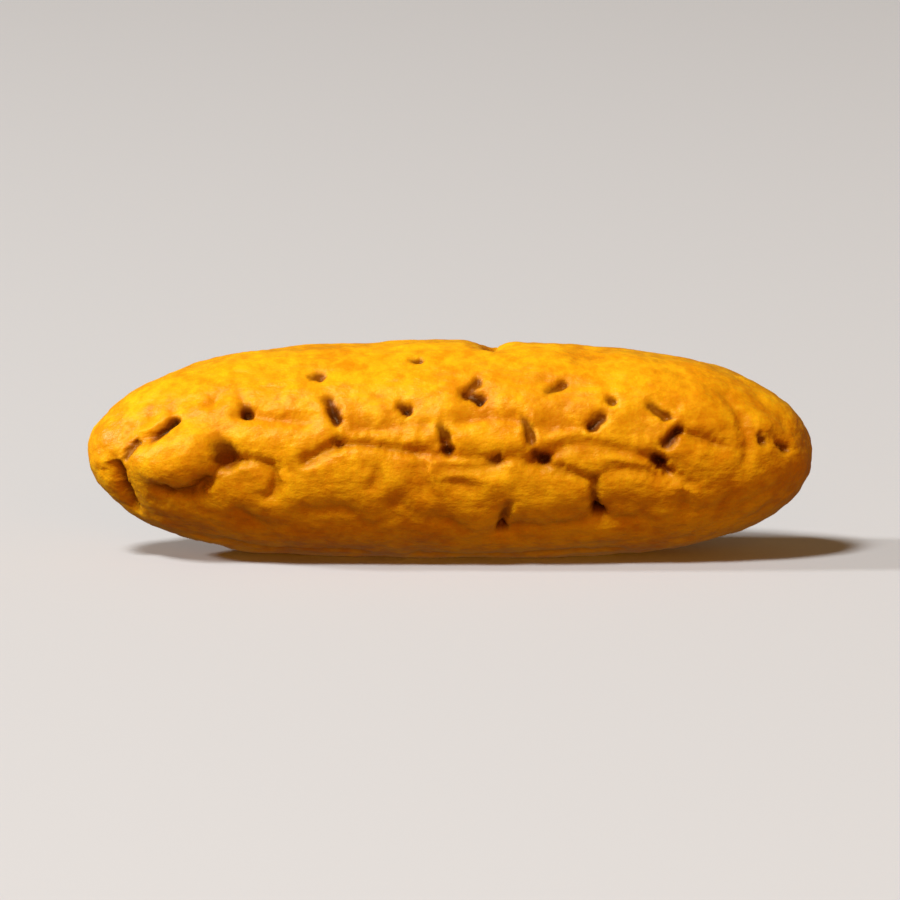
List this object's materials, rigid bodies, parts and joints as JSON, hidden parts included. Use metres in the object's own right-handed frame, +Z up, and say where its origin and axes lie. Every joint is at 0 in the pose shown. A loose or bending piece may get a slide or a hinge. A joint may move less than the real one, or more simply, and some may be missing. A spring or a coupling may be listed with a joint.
{
  "type": "dried turmeric finger",
  "caption": "Whole dried turmeric finger, a plump rhizome branch with a bud beside its blunt end and skin shrunk into padded folds, cracks and small pits.",
  "frame": {"origin": "on the resting surface, under the middle of the finger's bounding box", "axes": "+X along the finger towards its narrower end, +Z up, -Y towards the face that the picture shows, with the round bud near the -X end"},
  "size_m": [0.0298, 0.0098, 0.0089],
  "materials": {
    "turmeric_skin": "dried rhizome skin, golden orange, satin from polishing, darker in the folds and pits"
  },
  "bodies": {
    "root": {"turmeric_finger": "turmeric_skin"}
  },
  "joints": []
}
